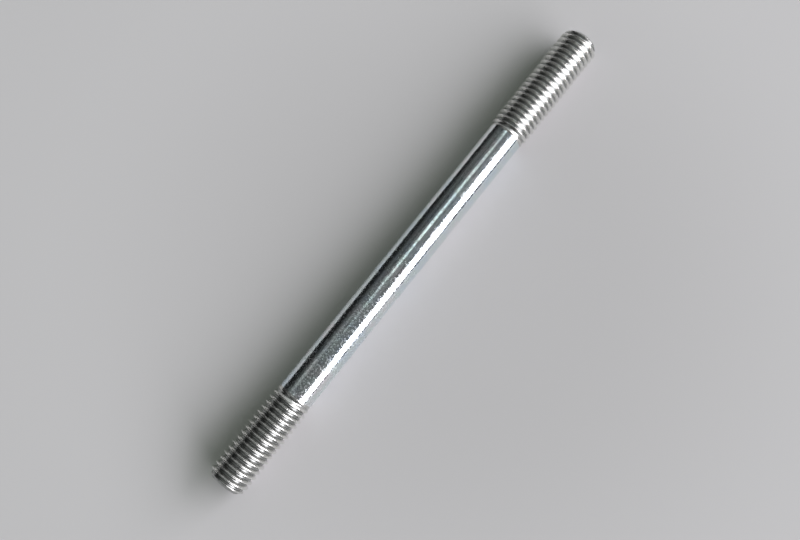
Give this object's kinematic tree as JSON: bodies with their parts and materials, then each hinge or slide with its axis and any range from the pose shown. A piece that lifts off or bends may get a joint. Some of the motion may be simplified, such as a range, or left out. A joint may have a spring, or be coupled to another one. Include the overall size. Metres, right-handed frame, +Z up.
{
  "type": "threaded stud",
  "caption": "Double-ended stud bar: a plain shank with a rolled metric thread on each end, one thread slightly longer than the other.",
  "frame": {"origin": "under the middle of the stud, on the surface it lies on", "axes": "+X along the stud's axis towards the longer thread, +Z up from the surface"},
  "size_m": [0.14, 0.01, 0.01],
  "materials": {
    "zinc_plated_steel": "bright zinc plate over a drawn and rolled steel bar, faintly mottled"
  },
  "bodies": {
    "root": {"threaded_stud": "zinc_plated_steel"}
  },
  "joints": []
}
